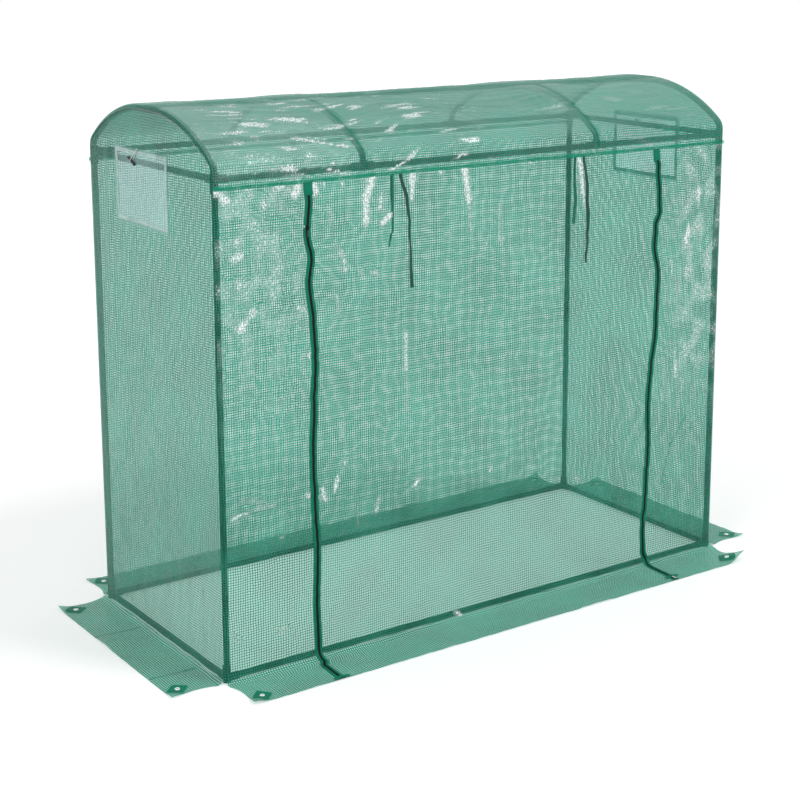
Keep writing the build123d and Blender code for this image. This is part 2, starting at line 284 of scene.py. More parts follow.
def finish_material(surface):
    """Links a surface to a new output."""
    node("OutputMaterial", {"Surface": surface})


# ---- Film material

GLARE_GRAIN = (250.0, 120.0, 0.0)
GLARE_PAINT_PALE = (0.66, 0.78, 0.75)
FILM_GLOSS = (0.75, 0.82, 0.80)


def film_material(name, pitch=0.008, thread=0.0024, thread_colour=(0.014, 0.30, 0.20),
                  thread_tint=(0.25, 0.78, 0.63), clear_tint=(0.815, 0.885, 0.867), seen_through=0.34,
                  milk=0.03, milk_colour=(0.48, 0.64, 0.60), frost_thread=(0.04, 0.27, 0.19),
                  frost_clear=(0.44, 0.58, 0.54), frost=0.80, frost_power=2.2, spread_share=0.05):
    """Makes clear film laminated over a square scrim of flat green threads."""
    material = new_material(name)
    spot = node("Attribute", attribute_name="cut").outputs["Vector"]
    wander = node("TexNoise", {"Vector": spot, "Scale": 9.0, "Detail": 1.0}).outputs["Color"]
    wander = vector_math("SUBTRACT", wander, (0.5, 0.5, 0.5))
    bent = vector_math("ADD", spot, vector_math("SCALE", wander, 0.010))
    axes = node("SeparateXYZ", {0: bent})
    half = thread / pitch / 2
    masks = []
    for axis in (0, 1):
        folded = math("PINGPONG", math("DIVIDE", axes.outputs[axis], pitch), 0.5)
        masks.append(remap(folded, half + 0.035, half - 0.035))
    either = math("MAXIMUM", *masks)
    both = times(*masks)

    tone = speckle(spot, 5.0, 3.0)
    fine = speckle(spot, 160.0, 2.0)
    darker = tuple(n * 0.72 for n in thread_colour)
    lighter = tuple(min(1.0, n * 1.35 + 0.012) for n in thread_colour)
    colour = blend_colour(remap(tone, 0.3, 0.7), darker, lighter)
    colour = blend_colour(times(both, 0.35), colour, darker)

    crinkle = speckle(spot, 34.0, 3.0, 0.55)
    raised = plus(times(either, 0.35), times(crinkle, 1.3))
    bump = bumped(raised, 0.55, 0.0012)

    def dull(base):
        inputs = {"Base Color": base, "Roughness": 0.5, "Specular IOR Level": 0.06, "Normal": bump}
        return output("BsdfPrincipled", inputs)

    def behind(tint):
        """Lets through a clear image, softened by light that is spread in the film."""
        image = output("BsdfTransparent", {"Color": tint})
        light = output("BsdfTranslucent", {"Color": (0.74, 0.86, 0.83), "Normal": bump})
        return mix_shader(spread_share, image, light)

    opened = remap(fine, 0.2, 0.8, seen_through * 0.75, seen_through * 1.25)
    opened = times(opened, remap(both, 0.0, 1.0, 1.0, 0.45))
    threads = mix_shader(opened, dull(colour), behind(thread_tint))
    hazy = remap(tone, 0.35, 0.75, milk * 0.5, milk * 1.6)
    windows = mix_shader(hazy, behind(clear_tint), dull(milk_colour))
    body = mix_shader(either, windows, threads)

    # Seen at a slant the laminate turns milky, and its weave stays visible in that
    facing = node("LayerWeight", {"Blend": 0.5, "Normal": bump}).outputs["Facing"]
    frosted = blend_colour(either, frost_clear, frost_thread)
    frosted = blend_colour(remap(tone, 0.3, 0.7, 0.0, 0.22), frosted, thread_colour)
    haze = times(math("POWER", facing, frost_power), frost)

    # The third number of "cut" is painted glare on creases above zero. Below zero it is painted shade, where the film
    # is tight on a tube, along doubled folds and on the skirts
    marks = node("SeparateXYZ", {0: spot}).outputs[2]
    frost_kept = remap(marks, -1.0, 0.0, 0.25, 1.0)
    body = mix_shader(times(haze, frost_kept), body, dull(frosted))
    # Painted shade: below zero the film takes its darker thread colour
    painted_shade = times(marks, -0.6, clamp=True)
    body = mix_shader(painted_shade, body, dull(darker))
    # Painted glare: above zero the film turns pale, and strong marks break into white mirror patches
    body = mix_shader(times(marks, 0.30, clamp=True), body, dull(GLARE_PAINT_PALE))
    shards = vector_math("MULTIPLY", spot, GLARE_GRAIN)
    shards = output("TexNoise", {"Vector": shards, "Scale": 1.0, "Detail": 2.0, "Distortion": 0.8})
    broken = remap(plus(times(marks, 0.27), shards), 0.63, 0.80, 0.0, 0.95)
    broken = times(broken, remap(marks, 0.15, 0.65))
    broken = times(broken, remap(either, 0.0, 1.0, 1.0, 0.45))
    glare = output("BsdfAnisotropic", {"Color": (0.97, 0.98, 0.98), "Roughness": 0.35})
    body = mix_shader(broken, body, glare)

    gloss = output("BsdfAnisotropic", {"Color": FILM_GLOSS, "Roughness": 0.16, "Normal": bump})
    shine = times(math("POWER", facing, 5.0), 0.2)
    finish_material(mix_shader(plus(shine, 0.006), body, gloss))
    return material


film = film_material("film_over_scrim")
# The roof's copy of the film has stronger, darker frost: partly the film's own milkiness at a slant, partly painted
# reflection and shade on the roof
roof_film = film_material("roof_film", frost_thread=(0.03, 0.25, 0.18), frost_clear=(0.37, 0.54, 0.49),
                          frost=0.95, frost_power=1.0)
# The skirts' copy of the film has wider, darker threads: painted shade for skirts lying in their own shadow
skirt_film_painted_darker = film_material("skirt_film_painted_darker", thread=0.0036, thread_colour=(0.008, 0.285, 0.185), milk=0.06,
                           frost_thread=(0.02, 0.23, 0.15), frost_clear=(0.50, 0.62, 0.58), frost=0.45,
                           spread_share=0.0)
vent_film = film_material("vent_film", thread=0.0016, thread_colour=(0.30, 0.58, 0.53),
                          thread_tint=(0.76, 0.93, 0.91), seen_through=0.75, clear_tint=(0.94, 0.97, 0.975),
                          milk=0.08, milk_colour=(0.70, 0.87, 0.84), frost_thread=(0.38, 0.66, 0.60),
                          frost_clear=(0.60, 0.80, 0.76), frost=0.4)
patch_film = film_material("patch_film", thread=0.0040, seen_through=0.06, thread_colour=(0.006, 0.20, 0.115),
                           clear_tint=(0.12, 0.50, 0.36), milk=0.5, milk_colour=(0.010, 0.25, 0.15),
                           frost_thread=(0.006, 0.20, 0.115), frost_clear=(0.02, 0.28, 0.18))
net_blue = film_material("net_blue", pitch=0.0022, thread=0.0005, thread_colour=(0.42, 0.60, 0.64),
                         thread_tint=(0.8, 0.92, 0.94), clear_tint=(0.95, 0.975, 0.98), seen_through=0.5,
                         milk=0.02, frost_thread=(0.35, 0.52, 0.54), frost_clear=(0.45, 0.60, 0.62), frost=0.25)


# ---- Solid materials

def webbing_material(name, dark, light, rib=0.0016, see=0.0):
    """Makes woven tape with ribs across and along it."""
    material = new_material(name)
    spot = node("Attribute", attribute_name="cut").outputs["Vector"]
    axes = node("SeparateXYZ", {0: spot})
    ribs = []
    for axis, pitch in ((0, rib * 1.0), (1, rib * 1.6)):
        ribs.append(math("PINGPONG", math("DIVIDE", axes.outputs[axis], pitch), 0.5))
    woven = times(ribs[0], ribs[1])
    tone = speckle(spot, 60.0, 3.0)
    factor = plus(times(woven, 1.8), times(tone, 0.6), clamp=True)
    colour = blend_colour(factor, dark, light)
    bump = bumped(woven, 0.6, 0.0008)
    inputs = {"Base Color": colour, "Roughness": 0.7, "Specular IOR Level": 0.12, "Normal": bump}
    cloth = output("BsdfPrincipled", inputs)
    if see:
        clear = output("BsdfTransparent", {"Color": (0.6, 0.9, 0.8)})
        worn = speckle(spot, 11.0, 4.0, 0.7)
        worn = remap(worn, 0.35, 0.68, see * 0.4, min(1.0, see * 2.2))
        cloth = mix_shader(worn, cloth, clear)
    finish_material(cloth)
    return material


def solid_material(name, colour, roughness=0.4, metallic=0.0, variation=0.25, grain=220.0, specular=0.5):
    """Makes a hard material with uneven colour and a fine surface grain."""
    material = new_material(name)
    place = node("TexCoord").outputs["Object"]
    tone = speckle(place, 14.0, 4.0)
    fine = speckle(place, grain, 3.0)
    low = tuple(n * (1 - variation) for n in colour)
    high = tuple(min(1.0, n * (1 + variation)) for n in colour)
    mixed = blend_colour(times(plus(tone, fine), 0.5), low, high)
    rough = remap(tone, 0.3, 0.7, roughness * 0.8, min(1.0, roughness * 1.25))
    inputs = {"Base Color": mixed, "Roughness": rough, "Metallic": metallic, "Specular IOR Level": specular,
              "Normal": bumped(fine, 0.5, 0.0002)}
    finish_material(output("BsdfPrincipled", inputs))
    return material


tube_coat = solid_material("tube_coat", (0.002, 0.092, 0.056), 0.5, specular=0.10)
joint_plastic = solid_material("joint_plastic", (0.002, 0.06, 0.038), 0.5, grain=600.0, specular=0.10)
eyelet_plate = solid_material("eyelet_plate", (0.88, 0.89, 0.89), 0.38, metallic=0.5, variation=0.05)
coil_black = solid_material("coil_black", (0.003, 0.014, 0.012), 0.5, grain=900.0, specular=0.12)
# Painted glare: the right zip's pull is coloured white
pull_painted_glare = solid_material("pull_painted_glare", (0.82, 0.83, 0.82), 0.35, variation=0.05)
toggle_black = solid_material("toggle_black", (0.012, 0.013, 0.013), 0.3, grain=700.0)
band_green = webbing_material("band_green", (0.010, 0.27, 0.165), (0.03, 0.44, 0.28), see=0.50)
zip_green = webbing_material("zip_green", (0.006, 0.13, 0.075), (0.015, 0.27, 0.165))
tab_green = webbing_material("tab_green", (0.005, 0.15, 0.09), (0.016, 0.31, 0.20), see=0.10)
tie_dark = webbing_material("tie_dark", (0.012, 0.05, 0.038), (0.045, 0.15, 0.11), rib=0.0022)
inner_tie_green = webbing_material("inner_tie_green", (0.008, 0.12, 0.08), (0.02, 0.22, 0.15))
tape_white = webbing_material("tape_white", (0.80, 0.86, 0.86), (1.0, 1.0, 1.0), rib=0.004, see=0.22)
cord_white = webbing_material("cord_white", (0.60, 0.62, 0.60), (0.92, 0.93, 0.90), rib=0.0012)

# ---- The roof's line

ROOF_ACROSS = HALF_DEPTH - HAUNCH - CROWN
ROOF_RISE = RIDGE - SPRING
ROOF_RADIUS = (ROOF_ACROSS**2 + ROOF_RISE**2 - HAUNCH**2) / (2 * (ROOF_RISE - HAUNCH))
ROOF_SLOPE = asin(ROOF_ACROSS / (ROOF_RADIUS - HAUNCH))
HAUNCH_RUN = HAUNCH * (pi / 2 - ROOF_SLOPE)
ROOF_RUN = ROOF_RADIUS * ROOF_SLOPE
HALF_RUN = SPRING + HAUNCH_RUN + ROOF_RUN + CROWN


def outline(s):
    """Gives (y, z), the outward direction and the film's own length, s metres along the tubes' line."""
    if s > HALF_RUN:
        y, z, ny, nz, length = outline(2 * HALF_RUN - s)
        return -y, z, -ny, nz, 2 * FILM_HALF - length
    if s <= SPRING:
        return -HALF_DEPTH, s, -1.0, 0.0, s
    s -= SPRING
    if s <= HAUNCH_RUN:
        a = s / HAUNCH
        y = HAUNCH - HALF_DEPTH - HAUNCH * cos(a)
        return y, SPRING + HAUNCH * sin(a), -cos(a), sin(a), SPRING + a * (HAUNCH + WRAP)
    s -= HAUNCH_RUN
    bent = SPRING + (pi / 2 - ROOF_SLOPE) * (HAUNCH + WRAP)
    if s <= ROOF_RUN:
        a = ROOF_SLOPE - s / ROOF_RADIUS
        z = RIDGE - ROOF_RADIUS + ROOF_RADIUS * cos(a)
        return -CROWN - ROOF_RADIUS * sin(a), z, -sin(a), cos(a), bent + (ROOF_SLOPE - a) * (ROOF_RADIUS + WRAP)
    s -= ROOF_RUN
    return s - CROWN, RIDGE, 0.0, 1.0, bent + ROOF_SLOPE * (ROOF_RADIUS + WRAP) + s


FILM_HALF = SPRING + (pi / 2 - ROOF_SLOPE) * (HAUNCH + WRAP) + ROOF_SLOPE * (ROOF_RADIUS + WRAP) + CROWN

# ---- How the film lies

# Where each zip runs: rows of height, or minus the way out along the skirt, and x
LEFT_ZIP = ((1.471, -0.692), (1.425, -0.689), (1.329, -0.696), (1.253, -0.682), (1.181, -0.690), (1.057, -0.676),
            (0.965, -0.673), (0.813, -0.681), (0.660, -0.685), (0.506, -0.682), (0.350, -0.675), (0.197, -0.680),
            (0.010, -0.676))
RIGHT_ZIP = ((1.471, 0.683), (1.417, 0.691), (1.329, 0.700), (1.268, 0.705), (1.224, 0.691), (1.153, 0.687),
             (1.046, 0.706), (0.940, 0.702), (0.836, 0.697), (0.732, 0.683), (0.592, 0.674), (0.449, 0.680),
             (0.345, 0.675), (0.239, 0.671), (0.135, 0.662), (0.062, 0.667), (0.014, 0.681))
LEFT_SKIRT_ZIP = ((0.0, -0.676), (-0.043, -0.695), (-0.136, -0.700), (-0.2, -0.702))
RIGHT_SKIRT_ZIP = ((0.0, 0.681), (-0.02, 0.678), (-0.18, 0.667), (-0.2, 0.666))
WALL_STRAIGHT = GROUND + BEND
BEND_RUN = BEND * pi / 2


def zip_shift(x, h):
    """Gives how far the zips pull the front sideways; h is the height, or minus the way out along the skirt."""
    lines = (LEFT_ZIP, RIGHT_ZIP) if h >= 0 else (LEFT_SKIRT_ZIP, RIGHT_SKIRT_ZIP)
    left, right = through(lines[0], h) + ZIP_X, through(lines[1], h) - ZIP_X
    return left * smooth(1 - abs(x + ZIP_X) / 0.27) + right * smooth(1 - abs(x - ZIP_X) / 0.27)


def free_part(x, z):
    """Gives 0 where a long wall's film is held at its edges, and 1 away from them."""
    return smooth((HALF_LENGTH - abs(x)) / 0.07) * smooth((1.487 - z) / 0.05) * smooth((z - 0.03) / 0.08)


def foot(z):
    """Gives how strongly a wall's film is gathered above the ground."""
    return exp(-z / 0.035) * smooth(z / 0.012)


def front_out(x, z):
    """Gives how far the front's film stands proud of its flat plane."""
    hang = exp(-(SEAM - z) / 0.33)
    out = 0.0055 * soft(x, z, 0.42, 0.55, 1)
    out += (0.0016 + 0.0042 * hang) * soft(x, z, 0.036, 0.30, 2)
    out += 0.0022 * soft(x + 0.25 * z, z, 0.10, 0.22, 3)
    frost_kept = smooth((-0.5 - x) / 0.25) * smooth((z - 1.0) / 0.3)
    patch = smooth(0.5 + 1.6 * soft(x, z, 0.30, 0.22, 4) + 0.45 * frost_kept)
    out += 0.0020 * patch * crumple(x, z, 0.055, 5)
    out += 0.0009 * soft(x, z, 0.016, 0.02, 6)
    for at in (-ZIP_X, ZIP_X):
        out += 0.0022 * exp(-abs(x - at) / 0.05) * soft(x, z, 0.20, 0.028, 7)
    gather = foot(z) * 0.0017 * soft(x, z, 0.0075, 0.12, 8)
    top = exp(-(SEAM - z) / 0.03) * 0.0009 * soft(x, z, 0.012, 0.1, 9)
    return out * free_part(x, z) + gather + top


def rear_out(x, z):
    """Gives how far the rear's film stands proud of its flat plane."""
    out = 0.0060 * soft(x, z, 0.45, 0.6, 21) + 0.0030 * soft(x, z, 0.06, 0.40, 22)
    patch = smooth(0.5 + 1.5 * soft(x, z, 0.3, 0.3, 23))
    out += 0.0016 * patch * crumple(x, z, 0.07, 24) + 0.0006 * soft(x, z, 0.02, 0.02, 25)
    return out * free_part(x, z) + foot(z) * 0.0014 * soft(x, z, 0.009, 0.12, 26)


def end_out(side, y, z):
    """Gives how far an end's film stands proud of its flat plane."""
    roof = RIDGE - 0.16 * (y / HALF_DEPTH) ** 2
    free = smooth((HALF_DEPTH - abs(y)) / 0.06) * smooth((roof - z - 0.012) / 0.07) * smooth((z - 0.03) / 0.08)
    out = 0.0040 * soft(y, z, 0.30, 0.50, 31 + side) + 0.0022 * soft(y, z, 0.05, 0.45, 33 + side)
    out += 0.0012 * crumple(y, z, 0.075, 35 + side) + 0.0005 * soft(y, z, 0.018, 0.018, 37 + side)
    shift = VENT_SHIFT[side]
    reach = max(abs(y - shift) - VENT_WIDTH / 2 - TAPE, abs(z - VENT_Z) - VENT_HEIGHT / 2 - TAPE)
    calm = 0.3 + 0.7 * smooth(reach / 0.05)
    return out * free * calm + foot(z) * 0.0012 * soft(y, z, 0.009, 0.12, 39)


def roof_out(x, s):
    """Gives how far the roof's film stands proud of the line over the hoops."""
    y = outline(s)[0]
    spans = ((-HALF_LENGTH, LEFT_HOOP), (LEFT_HOOP, RIGHT_HOOP), (RIGHT_HOOP, HALF_LENGTH))
    between = max(0.0, *(min(x - low, high - x) for low, high in spans))
    high_up = smooth(abs(y) / 0.05) * smooth((HALF_DEPTH - 0.01 - abs(y)) / 0.05)
    free = smooth(between / 0.12) * high_up
    out = -0.009 * smooth(between / 0.22) * high_up * sin(pi * min(1.0, abs(y) / (HALF_DEPTH - 0.01)))
    lean = s + 0.10 * soft(x, s, 0.4, 0.4, 41)
    out += free * (0.0028 * soft(x, lean, 0.22, 0.022, 42) + 0.0018 * soft(x, s, 0.12, 0.09, 43))
    patch = smooth(0.55 + 1.5 * soft(x, s, 0.25, 0.2, 44))
    out += free * (0.0013 * patch * crumple(x, s, 0.05, 45) + 0.0007 * soft(x, s, 0.016, 0.014, 46))
    return out + 0.0006 * soft(x, s, 0.014, 0.03, 47) * smooth((HALF_LENGTH - abs(x)) / 0.02)


def corner_curl(across, out, seed):
    """Gives the lift of a skirt near its end: across is the way from the end, out from the wall."""
    return 0.011 * smooth(1 - across / 0.06) * smooth((out - 0.09) / 0.085) * (1 + 0.4 * sin(seed))


def skirt_lift(side, along, out, low, high):
    """Gives a skirt's height over its flat lie, out metres from the wall."""
    seed = {"front": 51, "rear": 56, "left": 61, "right": 66}[side]
    edge = smooth(out / SKIRT)
    lift = 0.0058 * edge * max(0.0, soft(along, 0, 0.085, 1.0, seed) + 0.10)
    lift += 0.0030 * edge * max(0.0, soft(along, out, 0.033, 0.25, seed + 1)) * smooth((out - 0.05) / 0.08)
    lift += 0.0016 * max(0.0, soft(along, out, 0.05, 0.035, seed + 2) + 0.12) * smooth(out / 0.02)
    lift += 0.0009 * smooth(1 - out / 0.07) * max(0.0, soft(along, out, 0.009, 0.06, seed + 3))
    lift += corner_curl(along - low, out, seed) + corner_curl(high - along, out, seed + 2.2)
    if side == "front":
        lift += 0.030 * smooth(1 - (high - along) / 0.085) * smooth((out - 0.03) / 0.14) * (along > 0.8)
    return lift


# ---- Walls and roof

def wall_rows(top, step):
    """Lists a wall sheet's rows: the upper half of the ground bend as negative angles, then heights."""
    return [-pi / 4, -pi / 8] + spread(WALL_STRAIGHT, top, step)


def wall_row(v):
    """Gives a row's height, extra way out and length on the cut."""
    if v < 0:
        return WALL_STRAIGHT - BEND * sin(-v), BEND * (1 - cos(v)), WALL_STRAIGHT + BEND * v
    return v, 0.0, v


# Strokes of painted glare on the front's creases: x and z of both ends and the half width in mm, and the strength in
# percent, below zero for painted shade along doubled folds
FRONT_MARKS = (
    (-466, 1477, -490, 1423, 17, 100), (-490, 1423, -490, 1345, 13, 100), (-437, 1421, -443, 1385, 7, 80),
    (-403, 1359, -434, 1339, 11, 100), (-315, 1492, -322, 1459, 15, 110), (-322, 1459, -325, 1402, 6, 100),
    (-674, 1490, -664, 1453, 13, 110), (-721, 1478, -737, 1447, 12, 90), (-793, 1484, -737, 1457, 11, 60),
    (-995, 1487, -960, 1452, 12, 110), (-943, 1280, -916, 1287, 13, 70), (-933, 1332, -933, 1327, 9, 50),
    (-883, 1118, -923, 1075, 13, 55), (-585, 1266, -563, 1208, 10, 70), (-623, 1397, -614, 1347, 9, 45),
    (-598, 1290, -611, 1258, 7, 40), (-454, 1187, -468, 1192, 7, 70), (-507, 1202, -507, 1191, 6, 60),
    (-602, 1141, -596, 1069, 6, 45), (-697, 1394, -696, 1355, 4, 90), (-700, 1312, -692, 1257, 4, 90),
    (-751, 1160, -738, 1164, 6, 50), (-732, 1114, -701, 1094, 12, 55), (-884, 1482, -879, 1460, 11, 40),
    (-842, 1430, -839, 1424, 7, 50), (-937, 1215, -928, 1198, 7, 50), (-214, 1501, -218, 1478, 5, 80),
    (-635, 1478, -636, 1467, 4, 80), (-574, 1476, -574, 1465, 4, 80), (-512, 1509, -493, 1479, 7, 70),
    (-367, 1321, -353, 1314, 6, 40), (-264, 1379, -264, 1351, 7, 40), (-133, 1496, -117, 1471, 9, 110),
    (-121, 1471, -106, 1383, 15, 100), (-106, 1383, -96, 1282, 9, 50), (14, 1353, 15, 1239, 5, 60),
    (340, 1500, 362, 1365, 10, 110), (362, 1365, 371, 1315, 5, 90), (891, 1330, 886, 1269, 7, 60),
    (844, 1211, 836, 1157, 7, 70), (754, 1092, 756, 1034, 4, 60), (29, 1244, 27, 1231, 4, 70),
    (-32, 1241, -29, 1231, 4, 60), (137, 1503, 138, 1478, 5, 90), (162, 1495, 164, 1479, 4, 70),
    (-219, 1495, -211, 1476, 5, 80), (-186, 1292, -190, 1255, 4, 40), (189, 1278, 189, 1268, 4, 40),
    (-967, 509, -914, 517, 3, 90), (-931, 557, -861, 541, 8, 40), (-897, 522, -829, 522, 6, 45),
    (-806, 419, -805, 417, 5, 80), (-822, 124, -797, 126, 3, 80), (-940, -2, -870, -4, 6, 100),
    (-870, -4, -727, -6, 4, 80), (-724, -5, -678, 2, 9, 110), (-688, 531, -688, 513, 7, 80),
    (-664, 521, -654, 506, 6, 90), (-973, 152, -950, 129, 3, 60), (-797, 500, -791, 483, 4, 40),
    (-350, 986, -349, 876, 7, 70), (-349, 876, -343, 732, 3, 45), (-605, 566, -616, 529, 7, 100),
    (-305, 502, -312, 486, 5, 100), (-284, 511, -351, 472, 2, 50), (-451, 468, -461, 432, 6, 70),
    (-544, 943, -539, 928, 3, 60), (-664, 544, -651, 506, 5, 100), (-14, 488, -13, 476, 2, 110),
    (-545, 772, -517, 785, 3, 50), (-579, 619, -573, 599, 6, 60), (-588, 741, -584, 696, 9, 35),
    (-537, 460, -532, 402, 4, 40), (-154, 25, -139, 12, 6, 110), (-708, 970, -707, 960, 4, 90),
    (-713, 531, -687, 517, 8, 90), (796, 772, 812, 670, 6, 60), (884, 739, 892, 714, 7, 60),
    (752, 635, 757, 598, 5, 50), (507, 495, 510, 479, 4, 40), (346, 389, 358, 374, 6, 50),
    (934, 620, 859, 511, 3, -55), (859, 511, 795, 425, 3, -60), (795, 425, 763, 288, 3, -50),
    (900, 545, 882, 454, 3, -40), (629, 523, 642, 488, 4, 40),
)


def painted_glare_and_shade(x, z):
    """Marks painted glare on the front's creases, painted light on the panels beside the zips, and painted shade along
    some folds.
    """
    mark = 0.0
    for stroke in FRONT_MARKS:
        x0, z0, x1, z1, half = (n / 1000 for n in stroke[:5])
        reach = half + 0.006
        if not (min(x0, x1) - reach < x < max(x0, x1) + reach and min(z0, z1) - reach < z < max(z0, z1) + reach):
            continue
        dx, dz = x1 - x0, z1 - z0
        t = min(1.0, max(0.0, ((x - x0) * dx + (z - z0) * dz) / max(1e-9, dx * dx + dz * dz)))
        far = hypot(x - x0 - t * dx, z - z0 - t * dz)
        mark += stroke[5] / 100 * smooth(1.25 * (1 - far / reach))
    # Painted light: the panels beside the zips are made paler
    wide = 0.50 * smooth((-0.60 - x) / 0.2) * smooth((z - 0.55) / 0.7)
    wide += 0.52 * smooth((x - 0.72) / 0.12) * smooth((z - 0.35) / 0.5)
    return max(-1.0, min(1.0, mark + wide * smooth(0.5 + 1.4 * soft(x, z, 0.05, 0.06, 73))))


# Columns that go round a corner post or an end hoop: their x and turn
LEFT_EDGE = [(-HALF_LENGTH, -pi / 4 * k / 3) for k in (3, 2, 1)]
RIGHT_EDGE = [(HALF_LENGTH, pi / 4 * k / 3) for k in (1, 2, 3)]


def wall_sheet(name, row, left, right, step, out_by, shifted):
    """Makes a wall sheet between two places along the wall; an end past a post is bent round it by 45 degrees."""
    low, high = max(left, -HALF_LENGTH), min(right, HALF_LENGTH)
    columns = [(x, 0.0) for x in spread(low, high, step)]
    if left < -HALF_LENGTH:
        columns = LEFT_EDGE + columns
    if right > HALF_LENGTH:
        columns += RIGHT_EDGE

    def place(u, v):
        x, turn = u
        z, flare, run = wall_row(v)
        reach = WRAP + flare + out_by(x, z)
        moved = x + (zip_shift(x, max(z, 0.0)) if shifted else 0.0)
        # The front's marks carry painted glare and painted shade
        mark = painted_glare_and_shade(x, z) if shifted else 0.0
        return (moved + reach * sin(turn), row * (HALF_DEPTH + reach * cos(turn)), z), (x + WRAP * turn, run, mark)

    return add_sheet(name, columns, wall_rows(SEAM - 0.0003, step), place, film)


half_slit = ZIP_SLIT / 2 - 0.002
panels = {
    "front_film_left": ("front_panel_left", -END, -ZIP_X - half_slit),
    "door_film": ("door_panel", -ZIP_X + half_slit, ZIP_X - half_slit),
    "front_film_right": ("front_panel_right", ZIP_X + half_slit, END),
}
for name, (stands_for, left, right) in panels.items():
    sheet = wall_sheet(name, -1, left, right, 0.009, front_out, True)
    put_in_place(sheet, stands_for)

rear = wall_sheet("rear_film", 1, -END, END, 0.012, rear_out, False)
put_in_place(rear, "rear_cover")

# The roof, in one sheet from seam to seam
roof_columns = LEFT_EDGE + [(x, 0.0) for x in spread(-HALF_LENGTH, HALF_LENGTH, 0.009)] + RIGHT_EDGE
ROOF_START = SEAM - 0.007


def place_roof(u, s):
    """Places a point of the roof's film."""
    x, turn = u
    y, z, ny, nz, run = outline(s)
    lap = 0.0008 * smooth((1.497 - z) / 0.008) if z < 1.5 else 0.0
    wall = front_out(x, z) if y < 0 else rear_out(x, z)
    reach = WRAP + lap + (roof_out(x, s) if z > 1.5 else 0.0) + (wall if z < SEAM + 0.01 else 0.0)
    point = (x + reach * sin(turn), y + ny * reach * cos(turn), z + nz * reach * cos(turn))
    # Painted glare on the crests of the front roof's folds
    folds = smooth((soft(x, s + 0.10 * soft(x, s, 0.4, 0.4, 41), 0.14, 0.015, 42) - 0.08) / 0.3)
    left_folds = smooth((0.56 - abs(x + 0.44)) / 0.2) * smooth(0.55 + 2 * soft(x, s, 0.12, 0.06, 72))
    right_folds = smooth((x - 0.15) / 0.2) * smooth(0.2 + 2 * soft(x, s, 0.12, 0.06, 75))
    mark = folds * (0.95 * left_folds + 0.5 * right_folds) * (y < -0.03)
    # Painted glare in soft patches at the left of the roof's front half
    broad = smooth((-0.3 - x) / 0.3) * smooth((-0.18 - y) / 0.15)
    mark += 0.16 * broad * smooth(0.5 + 1.5 * soft(x, s, 0.05, 0.04, 74))
    # Painted shade where the film lies on the ridge rail and on the hoops
    on_ridge = smooth((y + 0.10) / 0.04) * smooth((0.02 - y) / 0.02)
    on_hoops = sum(exp(-(((x - at) / 0.009) ** 2)) for at in (LEFT_HOOP, RIGHT_HOOP))
    mark -= 0.85 * min(1.0, on_ridge + on_hoops * smooth((0.02 - y) / 0.05)) * (z > 1.5)
    # Painted light on the roof's left end and painted shade on its right end
    pale, dark = smooth((-0.45 - x) / 0.25), smooth((x - 0.35) / 0.3)
    mark += (0.22 * pale - 0.30 * dark) * smooth((z - 1.5) / 0.03)
    return point, (x + WRAP * turn, run, max(-1.0, min(1.0, mark)))


roof = add_sheet("roof_film", roof_columns, spread(ROOF_START, 2 * HALF_RUN - ROOF_START, 0.008), place_roof, roof_film)
put_in_place(roof, "roof_cover")

# ---- End covers

arch = spread(SPRING, 2 * HALF_RUN - SPRING, 0.010)


